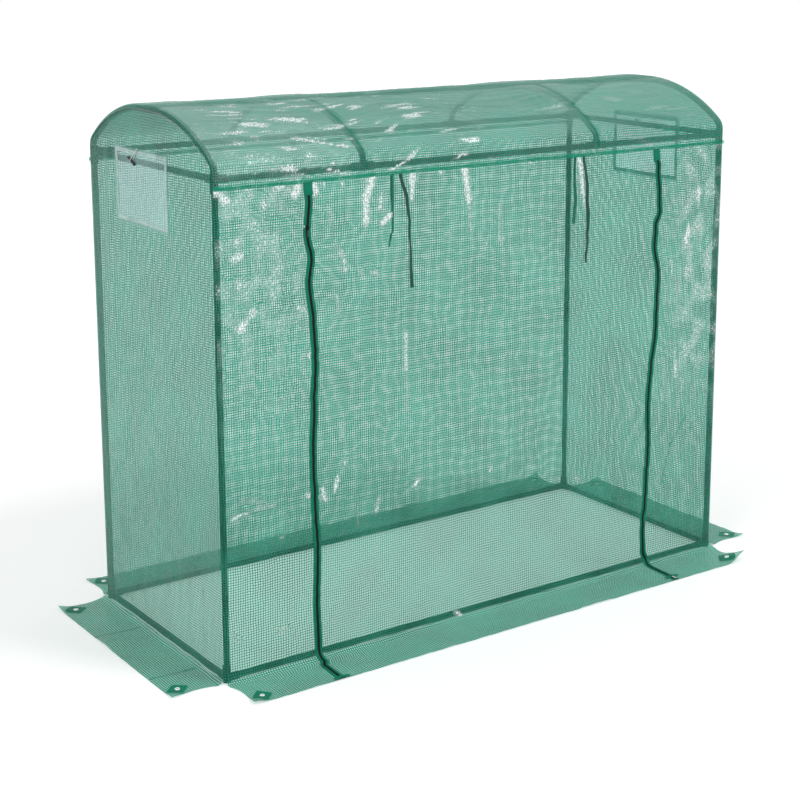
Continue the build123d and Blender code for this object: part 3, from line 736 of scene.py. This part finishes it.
def end_sheet(side, name):
    """Makes an end's film: columns under the hoop's line, with a rim bent 45 degrees round the hoop and posts."""
    tops = [outline(s) for s in arch]
    rows = 150
    points, cuts = [], []
    for y, top, *_ in tops:
        heights = [WALL_STRAIGHT + (top - WALL_STRAIGHT) * k / rows for k in range(rows + 1)]
        for v in [-pi / 4, -pi / 8] + heights:
            z, flare, run = wall_row(v)
            points.append((side * (END + flare + end_out(side, y, z)), y, z))
            cuts.append((y, run, 0.0))
    tall = rows + 3
    faces = grid(len(tops), tall)
    last = (len(tops) - 1) * tall
    border = [*range(tall), *(c * tall + tall - 1 for c in range(1, len(tops) - 1))]
    border += range(last + tall - 1, last - 1, -1)
    before = border
    for k in (1, 2, 3):
        turn = pi / 2 - pi / 4 * k / 3
        ring = []
        for i, start in enumerate(border):
            _, y, z = points[start]
            if i < tall:
                ny, nz = -1.0, 0.0
            elif i >= len(border) - tall:
                ny, nz = 1.0, 0.0
            else:
                _, _, ny, nz, _ = tops[i - tall + 1]
            flare = abs(points[start][0]) - END if z < WALL_STRAIGHT else 0.0
            reach = WRAP + max(0.0, flare)
            ring.append(len(points))
            x = side * (HALF_LENGTH + reach * sin(turn))
            points.append((x, y + ny * reach * cos(turn), z + nz * reach * cos(turn)))
            across, along, _ = cuts[start]
            cuts.append((across + ny * WRAP * (pi / 2 - turn), along + nz * WRAP * (pi / 2 - turn), 0.0))
        faces += [(before[i], before[i + 1], ring[i + 1], ring[i]) for i in range(len(border) - 1)]
        before = ring
    sheet = add_mesh(name, points, faces, cuts, film)
    low, high = VENT_Z - VENT_HEIGHT / 2, VENT_Z + VENT_HEIGHT / 2
    near, far = VENT_SHIFT[side] - VENT_WIDTH / 2, VENT_SHIFT[side] + VENT_WIDTH / 2
    work = bmesh.new()
    work.from_mesh(sheet.data)

    def in_vent(face, more):
        spot = middle(face)
        return near - more < spot.y < far + more and low - more < spot.z < high + more

    upright, level = (0, 1, 0), (0, 0, 1)
    for spot, normal in (((0, near, 0), upright), ((0, far, 0), upright), ((0, 0, low), level), ((0, 0, high), level)):
        around = [f for f in work.faces if in_vent(f, 0.03)]
        geometry = edges_of(around) + around + list({v for f in around for v in f.verts})
        bmesh.ops.bisect_plane(work, geom=geometry, plane_co=spot, plane_no=normal)
    inside = [f for f in work.faces if in_vent(f, 0.0)]
    bmesh.ops.delete(work, geom=inside, context="FACES")
    work.to_mesh(sheet.data)
    work.free()
    return sheet


arch_area = 2 * HALF_DEPTH * SPRING + sum(
    (outline(b)[0] - outline(a)[0]) * ((outline(a)[1] + outline(b)[1]) / 2 - SPRING) for a, b in zip(arch, arch[1:])
)
for side, end in ((-1, "left"), (1, "right")):
    sheet = end_sheet(side, f"end_film_{end}")
    put_in_place(sheet, f"end_cover_{end}")

# ---- Skirts

SKIRT_SPANS = {
    "skirt_front_left": ("front", -END, -ZIP_X - half_slit),
    "skirt_front_door": ("front", -ZIP_X + half_slit, ZIP_X - half_slit),
    "skirt_front_right": ("front", ZIP_X + half_slit, END),
    "skirt_rear": ("rear", -END, END),
    "skirt_left": ("left", -WALL, WALL),
    "skirt_right": ("right", -WALL, WALL),
}
FLAT_RUN = SKIRT + SKIRT_START - WRAP - BEND
# Where dark fold lines are painted on the side skirts, as painted shade; the sheet stays flat there
SKIRT_FOLD_SHADE = {"left": (0.115, -0.266), "right": (0.18, -0.12)}
FOLD_HALF = 0.0035
HOLLOW = 0.013


def skirt_point(side, along, out, lift_by=0.0):
    """Gives the point of a skirt's film at a place along its wall, out metres past the ground bend."""
    low, high = (-END, END) if side in ("front", "rear") else (-WALL, WALL)
    z = GROUND + skirt_lift(side, along, out, low, high) + lift_by
    hollow = HOLLOW * sin(pi * min(1.0, max(0.0, out / FLAT_RUN)) ** 0.8)
    along += hollow * (smooth(1 - (along - low) / 0.10) - smooth(1 - (high - along) / 0.10))
    if side == "front":
        return along + zip_shift(along, -out - 0.001), -WALL - BEND - out, z
    if side == "rear":
        return along, WALL + BEND + out, z
    across = END + BEND + out
    return (-across if side == "left" else across), along, z


def make_skirt(name, side, low, high):
    """Makes a skirt's film with the lower half of the ground bend, and with holes under its eyelets."""
    folds = SKIRT_FOLD_SHADE.get(side, ())

    def place(along, v):
        if v < 0:
            turn = pi / 4 + (v + 1) * pi / 4
            x, y, _ = skirt_point(side, along, 0.0)
            back, up = BEND - BEND * (1 - cos(turn)), BEND - BEND * sin(turn)
            if side == "front":
                x, y = along + zip_shift(along, 0.0), y + back
            elif side == "rear":
                y -= back
            else:
                x += back if side == "left" else -back
            # Painted shade: the lower half of the ground bend is darkened a little
            return (x, y, GROUND + up), (along, WALL_STRAIGHT - BEND * turn, -0.15)
        # Painted shade: the whole skirt is darkened a little, and more along its painted fold lines
        fold_shade = max((exp(-(((along - at - 0.05 * v) / FOLD_HALF) ** 2)) for at in folds), default=0.0)
        return skirt_point(side, along, v), (along, WALL_STRAIGHT - BEND_RUN - v, -min(1.0, 0.10 + fold_shade))

    columns = sorted(spread(low, high, 0.009) + [at + d * FOLD_HALF for at in folds for d in range(-2, 5)])
    sheet = add_sheet(name, columns, [-1.0, -0.5] + spread(0.0, FLAT_RUN, 0.009), place, skirt_film_painted_darker)
    work = bmesh.new()
    work.from_mesh(sheet.data)
    for centre in eyelet_centres:
        close = near_to(work, centre, 0.016)
        if close:
            bmesh.ops.subdivide_edges(work, edges=edges_of(close), cuts=4, use_grid_fill=True)
            work.faces.ensure_lookup_table()
            bmesh.ops.delete(work, geom=near_to(work, centre, 0.0062), context="FACES")
    work.to_mesh(sheet.data)
    work.free()
    return sheet


eyelet_places = [(side, s * EYELET_X, EYELET_OUT - WALL - BEND) for side in ("front", "rear") for s in (-1, 1)]
eyelet_places += [(side, s * EYELET_Y, EYELET_END_OUT - END - BEND) for side in ("left", "right") for s in (-1, 1)]
eyelet_centres = [skirt_point(*place) for place in eyelet_places]

for name, (side, low, high) in SKIRT_SPANS.items():
    sheet = make_skirt(f"{name}_film", side, low, high)
    put_in_place(sheet, name)

# ---- Eyelets and their patches

patch_points, patch_faces, patch_cuts = [], [], []
ring_points, ring_faces = [], []
EYELET_PROFILE = ((0.0045, -0.0004), (0.0045, 0.0012), (0.0050, 0.0019), (0.0060, 0.0023), (0.0072, 0.0020),
                  (0.0081, 0.0013), (0.0085, 0.0006))
PATCH_HOLE, PATCH_REACH, PATCH_CAP = 0.0060, 0.040, 0.036
SPOKES, CIRCLES, RING_STEPS = 48, 7, 32
for side, along, out in eyelet_places:
    corner = len(patch_points)
    for k in range(CIRCLES):
        for i in range(SPOKES + 1):
            a = 2 * pi * i / SPOKES
            edge = min(PATCH_REACH / (abs(cos(a)) + abs(sin(a))), PATCH_CAP)
            r = PATCH_HOLE + (edge - PATCH_HOLE) * k / (CIRCLES - 1)
            u, v = along + r * cos(a), out + r * sin(a)
            patch_points.append(skirt_point(side, u, min(v, FLAT_RUN), 0.0008))
            patch_cuts.append((u + 0.003, v + 0.002, 0.0))
    patch_faces += grid(CIRCLES, SPOKES + 1, corner)
    base = Vector(skirt_point(side, along, out))
    one = Vector(skirt_point(side, along + 0.006, out)) - Vector(skirt_point(side, along - 0.006, out))
    two = Vector(skirt_point(side, along, out + 0.006)) - Vector(skirt_point(side, along, out - 0.006))
    up = one.cross(two).normalized()
    up = up if up.z > 0 else -up
    one = one.normalized()
    two = up.cross(one)
    corner = len(ring_points)
    for r, z in EYELET_PROFILE:
        for i in range(RING_STEPS + 1):
            a = 2 * pi * i / RING_STEPS
            ring_points.append(tuple(base + one * (r * cos(a)) + two * (r * sin(a)) + up * (z + 0.0007)))
    ring_faces += grid(len(EYELET_PROFILE), RING_STEPS + 1, corner)

patches = add_mesh("eyelet_patch_film", patch_points, patch_faces, patch_cuts, patch_film)
put_in_place(patches, "eyelet_patches")
eyelet_rings = add_mesh("eyelet_rings", ring_points, ring_faces, None, eyelet_plate)
put_in_place(eyelet_rings, "skirt_eyelets")

# ---- Seam bands

BAND_PROFILE = both_sides(((-0.0060, -0.0006), (-0.0052, 0.0), (-0.002, 0.0004)))
for row, name, out_by in ((-1, "front", front_out), (1, "rear", rear_out)):
    path = []
    for x in spread(-END, END, 0.006):
        y = row * (WALL + 0.0016 + 0.0006 * soft(x, 0, 0.02, 1, 81) + out_by(x, SEAM - 0.006))
        spot = Vector((x, y, SEAM - 0.003 + 0.0012 * soft(x, 0, 0.09, 1, 82)))
        path.append((spot, Vector((0, 0, 1)), Vector((0, row, 0))))
    put_in_place(ribbon(f"seam_band_{name}", path, BAND_PROFILE, band_green), "roof_seam_bands")

# ---- Zips

TAPE_TOP = SEAM - 0.0063
COIL_START = 0.034


def zip_frame(at, p, lift):
    """Gives the frame of a zip's middle line, p metres down from the seam, lift metres off the film."""
    down = TAPE_TOP - WALL_STRAIGHT
    if p <= down:
        z = TAPE_TOP - p
        point = Vector((at + zip_shift(at, z), -WALL - front_out(at, z) - lift, z))
        return point, Vector((0, -1, 0))
    turn = (p - down) / BEND
    if turn < pi / 2:
        start = at + zip_shift(at, 0.0)
        reach = BEND - lift
        point = Vector((start, -WALL - BEND + reach * cos(turn), WALL_STRAIGHT - reach * sin(turn)))
        return point, Vector((0, -cos(turn), sin(turn)))
    out = p - down - BEND_RUN
    x, y, z = skirt_point("front", at, min(out, FLAT_RUN))
    return Vector((x, y, z + lift)), Vector((0, 0, 1))


ZIP_RUN = TAPE_TOP - WALL_STRAIGHT + BEND_RUN + FLAT_RUN


def zip_path(at, start, stop, step, lift):
    """Lists the frames of a strip that follows a zip."""
    frames = []
    for p in spread(start, stop, step):
        point, out = zip_frame(at, p, lift)
        ahead, _ = zip_frame(at, min(p + 0.004, ZIP_RUN), lift)
        behind, _ = zip_frame(at, max(p - 0.004, 0.0), lift)
        along = (ahead - behind).normalized()
        across = along.cross(out).normalized()
        frames.append((point, across, out))
    return frames


def coil_mesh(name, at):
    """Makes a zip's coil from single teeth that lean alternately to either side."""
    points, faces = [], []
    frames = zip_path(at, COIL_START, ZIP_RUN, 0.0026, 0.0016)
    for i, (point, across, out) in enumerate(frames):
        along = out.cross(across)
        lean = 0.0007 if i % 2 else -0.0007
        for side in (-0.0036, -0.0030, -0.0012, 0.0012, 0.0030, 0.0036):
            thin = 0.45 if abs(side) > 0.0034 else 1.0
            for k in range(6):
                a = pi * k / 3
                ahead, up = 0.00115 * thin * cos(a) + side * 0.12, 0.0003 + 0.0010 * thin * sin(a)
                points.append(tuple(point + across * (side + lean) + along * ahead + out * up))
        first = i * 36
        for c in range(5):
            for k in range(6):
                a, b = first + c * 6 + k, first + c * 6 + (k + 1) % 6
                faces.append((a, b, b + 6, a + 6))
        faces.append(tuple(first + k for k in range(6)))
        faces.append(tuple(first + 35 - k for k in range(6)))
    return add_mesh(name, points, faces, None, coil_black)


TAPE_PROFILE = both_sides(((-0.0135, -0.0005), (-0.0128, 0.0002), (-0.010, 0.0002), (-0.0078, 0.0), (-0.0052, 0.0002),
                           (-0.0043, 0.0008)), ((0.0, 0.0010),))
CORE_PROFILE = both_sides(((-0.0046, -0.0008), (-0.0040, 0.0001)), ((0.0, 0.0004),))
for at, end in ((-ZIP_X, "left"), (ZIP_X, "right")):
    tape = ribbon(f"zip_tape_{end}", zip_path(at, 0.0, ZIP_RUN, 0.006, 0.0008), TAPE_PROFILE, zip_green)
    coil = coil_mesh(f"zip_coil_{end}", at)
    core = ribbon(f"zip_core_{end}", zip_path(at, COIL_START, ZIP_RUN, 0.006, 0.0018), CORE_PROFILE, coil_black)
    for piece in (tape, coil, core):
        put_in_place(piece, f"zip_{end}")

# Folded tape ends that cross the zips near the skirt's edge
END_BAR_HALF, END_BAR_STEPS = 0.027, 22
END_BAR_PROFILE = both_sides(((-0.0075, -0.0016), (-0.005, 0.0004)), ((0.0, 0.0010),))
for at, end, back in ((-ZIP_X, "left", 0.008), (ZIP_X, "right", 0.030)):
    point = zip_path(at, ZIP_RUN - back, ZIP_RUN - back + 0.001, 0.001, 0.0014)[0][0]
    path = []
    for k in range(END_BAR_STEPS + 1):
        w = -END_BAR_HALF + 2 * END_BAR_HALF * k / END_BAR_STEPS
        x = point.x + w
        deep = -point.y - WALL - BEND + 0.004 * soft(w, 0, 0.02, 1, 83)
        z = Vector(skirt_point("front", x, deep)).z if abs(w) > 0.008 else point.z
        spot = Vector((x, -WALL - BEND - deep, z + 0.0030 + 0.0014 * abs(sin(w * 260))))
        path.append((spot, Vector((0, 1, 0)), Vector((0, 0, 1))))
    bar = ribbon(f"zip_end_bar_{end}", path, END_BAR_PROFILE, zip_green)
    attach(bar, "root")

tab_points, tab_faces, tab_cuts = [], [], []
TAB_PROFILE = both_sides(((-0.0155, -0.0014), (-0.0150, -0.0002), (-0.008, 0.0)), ((0.0, 0.0004),))
for at in (-ZIP_X, ZIP_X):
    frames = zip_path(at, 0.0, TAB_LENGTH, 0.004, 0.0026)
    first = len(tab_points)
    for i, (point, across, out) in enumerate(frames):
        for side, rise in TAB_PROFILE:
            tab_points.append(tuple(point + across * side + out * rise))
            tab_cuts.append((side, 0.004 * i, 0.0))
    tab_faces += grid(len(frames), len(TAB_PROFILE), first)
put_in_place(add_mesh("zip_tabs", tab_points, tab_faces, tab_cuts, tab_green), "zip_top_tabs")

PULL_LENGTH = 0.020


def slider(name, at, p, pull):
    """Makes a zip slider with its bridge and its hanging pull."""
    point, across, out = zip_path(at, p, p + 0.001, 0.001, 0.0030)[0]
    along = out.cross(across)
    work = bmesh.new()

    def block(centre, size, cut, taper=1.0):
        made_block = bmesh.ops.create_cube(work, size=1.0)["verts"]
        for v in made_block:
            narrow = taper if v.co.y > 0 else 1.0
            v.co = Vector(centre) + Vector((v.co.x * size[0] * narrow, v.co.y * size[1], v.co.z * size[2]))
        edges = list({e for v in made_block for e in v.link_edges})
        bmesh.ops.bevel(work, geom=edges, offset=cut, segments=3, profile=0.6, affect="EDGES")

    block((0, 0, 0.0010), (0.0105, 0.0130, 0.0028), 0.0009, 0.72)
    block((0, 0.0005, 0.0030), (0.0030, 0.0088, 0.0016), 0.0006)
    body_faces = len(work.faces)
    block((0, 0.0065 + PULL_LENGTH / 2, 0.0022), (0.0055, PULL_LENGTH, 0.0016), 0.0007, 0.8)
    for i, face in enumerate(work.faces):
        face.material_index = 0 if i < body_faces else 1
    mesh = bpy.data.meshes.new(name)
    for v in work.verts:
        v.co = point + across * v.co.x + along * v.co.y + out * v.co.z
    work.to_mesh(mesh)
    work.free()
    mesh.polygons.foreach_set("use_smooth", [True] * len(mesh.polygons))
    mesh.materials.append(coil_black)
    mesh.materials.append(pull)
    put_in_place(link(name, mesh), "zip_sliders")


# The right pull is painted white for its glare; the left pull, which shows none, is given the toggles' black: painted
# lit and unlit copies of one pull
slider("zip_slider_left", -ZIP_X, TAB_LENGTH + 0.0975, toggle_black)
slider("zip_slider_right", ZIP_X, ZIP_RUN - 0.030, pull_painted_glare)

# ---- Vents

def vent_point(side, y, z, lift, loose=0.0):
    """Gives a point on a vent's layer; the layer hangs a little out of square as the film does."""
    shift = VENT_SHIFT[side]
    u, v = (y - shift) / VENT_WIDTH, (z - VENT_Z) / VENT_HEIGHT
    y += 0.004 * soft(v * 1.3, u, 0.5, 2.0, 91 + side) + (0.006 * u * v if side < 0 else 0.0)
    z += 0.0035 * soft(u * 1.4, v, 0.45, 2.0, 93 + side)
    belly = loose * (1 - min(1.0, abs(2 * u)) ** 4) * (1 - min(1.0, abs(2 * v)) ** 4)
    return side * (END + lift + end_out(side, y, z) + belly * (0.6 + soft(y, z, 0.08, 0.12, 95))), y, z


def vent_layer(name, side, grow, lift, loose, material):
    """Makes one of a vent's sheets."""
    shift = VENT_SHIFT[side]
    ys = spread(shift - VENT_WIDTH / 2 - grow, shift + VENT_WIDTH / 2 + grow, 0.008)
    zs = spread(VENT_Z - VENT_HEIGHT / 2 - grow, VENT_Z + VENT_HEIGHT / 2 + grow, 0.008)
    return add_sheet(name, ys, zs, lambda y, z: (vent_point(side, y, z, lift, loose), (y, z, 0.0)), material)


for side, end in ((-1, "left"), (1, "right")):
    flap = vent_layer(f"vent_flap_film_{end}", side, TAPE + 0.008, 0.0020, 0.0035, vent_film)
    put_in_place(flap, f"vent_flap_{end}")
    net = vent_layer(f"vent_net_{end}", side, 0.015, -0.0008, -0.002, net_blue)
    put_in_place(net, "vent_nets")
    half_w, half_h = VENT_WIDTH / 2 + TAPE / 2, VENT_HEIGHT / 2 + TAPE / 2
    corners = [(-half_w, half_h), (half_w, half_h), (half_w, -half_h), (-half_w, -half_h)]
    ring, points, cuts = [], [], []
    for (y0, z0), (y1, z1) in zip(corners, corners[1:] + corners[:1]):
        steps = round(hypot(y1 - y0, z1 - z0) / 0.006)
        ring += [(y0 + (y1 - y0) * k / steps, z0 + (z1 - z0) * k / steps) for k in range(steps)]
    ring.append(corners[0])
    for y, z in ring:
        across_y, across_z = abs(abs(y) - half_w) < 1e-6, abs(abs(z) - half_h) < 1e-6
        for w in (-0.0065, -0.0055, 0.0, 0.0055, 0.0065):
            yy = VENT_SHIFT[side] + y + (w if y > 0 else -w) * across_y
            zz = VENT_Z + z + (w if z > 0 else -w) * across_z
            rise = 0.0010 if abs(w) < 0.006 else 0.0003
            points.append(vent_point(side, yy, zz, 0.0004 + rise))
            cuts.append((w, y + z, 0.0))
    tape = add_mesh(f"vent_tape_{end}", points, grid(len(ring), 5), cuts, tape_white)
    put_in_place(tape, "vent_tapes")

# Toggle cords, the same route as in the part's source
NECK_X, TOGGLE_Z, TOGGLE_ACROSS = 1.0115, 1.517, 0.045
LOOP, SLACK, BOW, BOW_AT = 0.0042, 0.0006, 0.0016, 0.011
for side, end in ((-1, "left"), (1, "right")):
    fall = Vector((0, cos(radians(-48)), sin(radians(-48))))
    neck = Vector((side * NECK_X, VENT_SHIFT[side] + TOGGLE_ACROSS, TOGGLE_Z))
    out = Vector((side, 0, 0))
    sewn = neck - fall * 0.056
    inner, outer = out * -LOOP, out * (LOOP + SLACK)
    route = [
        sewn + inner,
        neck + inner + out * (BOW / 4) - fall * BOW_AT,
        neck + inner + fall * (LOOP + SLACK),
        neck + outer + fall * (LOOP + SLACK),
        neck + outer + out * (BOW / 4) - fall * BOW_AT,
        sewn + out * (0.0003 - LOOP + 0.0024),
    ]
    curve = bpy.data.curves.new(f"toggle_loop_{end}", "CURVE")
    curve.dimensions = "3D"
    curve.bevel_depth = 0.0012
    curve.bevel_resolution = 3
    curve.resolution_u = 16
    spline = curve.splines.new("NURBS")
    spline.points.add(len(route) - 1)
    for knot, place in zip(spline.points, route):
        knot.co = (*place, 1.0)
    spline.order_u = 3
    spline.use_endpoint_u = True
    curve.materials.append(cord_white)
    loop = link(f"toggle_loop_{end}", curve)
    put_in_place(loop, f"toggle_cord_{end}")
    tuple(route[0])

# ---- Ties

TIE_HALF = 0.0055
TIE_PROFILE = both_sides(((-TIE_HALF, 0.0), (-TIE_HALF * 0.6, 0.0004)), ((0.0, 0.0005),))
OUTSIDE, INSIDE = -0.0012, 0.0022
TIES = {
    "outer_tie_left": ((1.4835, -0.364), (1.40, -0.346), (1.33, -0.337), (1.20, -0.332), (1.128, -0.329)),
    "outer_tie_right": ((1.4835, 0.361), (1.38, 0.374), (1.28, 0.381), (1.20, 0.380), (1.128, 0.375)),
    "inner_tie_left": ((1.4835, -0.394), (1.40, -0.392), (1.33, -0.391), (1.262, -0.405)),
    "inner_tie_right": ((1.4835, 0.327), (1.40, 0.329), (1.33, 0.333), (1.262, 0.328)),
}
for name, line in TIES.items():
    outer = name.startswith("outer")
    path = []
    top, bottom = line[0][0], line[-1][0]
    for z in reversed(spread(bottom, top, 0.005)):
        x = through(line, z)
        hang = 0.004 * smooth((top - z) / 0.08) * (1 if outer else -0.5)
        y = -WALL - front_out(x, z) + (OUTSIDE if outer else INSIDE) - hang - 0.0015 * soft(z, 0, 0.05, 1, 96)
        twist = 0.35 * sin((top - z) * 16 + x * 5) * smooth((top - z) / 0.06)
        across = Vector((cos(twist), sin(twist), 0))
        out = Vector((sin(twist), -cos(twist), 0))
        path.append((Vector((x, y, z)), across, out))
    tie = ribbon(name, path, TIE_PROFILE, tie_dark if outer else inner_tie_green)
    put_in_place(tie, "outer_door_ties" if outer else "inner_door_ties")

# ---- Frame parts kept from the model

KEPT = {"joints": joint_plastic, "toggles": toggle_black, "rail": tube_coat, "post": tube_coat, "hoop": tube_coat}
for name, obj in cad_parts.items():
    material = next((finish for word, finish in KEPT.items() if word in name), None)
    if material:
        for place in obj.material_slots:
            place.material = material

# ---- Floor, world and lamps

FLOOR_COLOUR, FLOOR_GLOW, SKY_LIGHT, SKY_GLOW = 0.84, 0.32, 0.62, 0.38
floor_material = new_material("studio_floor")
plain = output("BsdfDiffuse", {"Color": (FLOOR_COLOUR,) * 3})
glow = times(seen_directly(), FLOOR_GLOW)
glow = output("Emission", {"Color": (1.0, 1.0, 1.0), "Strength": glow})
finish_material(output("AddShader", {0: plain, 1: glow}))
bpy.ops.mesh.primitive_plane_add(size=40.0, location=(0, 0, 0))
floor_obj = bpy.context.object
floor_obj.name = "studio_floor"
floor_obj.data.materials.append(floor_material)

world = bpy.data.worlds.new("studio")
bpy.context.scene.world = world
world.use_nodes = True
tree = world.node_tree
tree.nodes.clear()
strength = plus(SKY_LIGHT, times(seen_directly(), SKY_GLOW))
sky = node("Background", {"Color": (1.0, 1.0, 1.0), "Strength": strength})
node("OutputWorld", {"Surface": sky.outputs[0]})


def lamp(name, toward, strength, angle):
    """Adds a soft distant lamp that shines from a direction."""
    data = bpy.data.lights.new(name, "SUN")
    data.energy = strength
    data.angle = radians(angle)
    link(name, data).rotation_euler = Vector(toward).to_track_quat("Z", "Y").to_euler()


lamp("key", (1.9, -2.6, 3.3), 1.0, 16)
lamp("fill", (-2.8, -0.8, 2.6), 0.5, 24)

bpy.context.scene.view_settings.view_transform = "Standard"
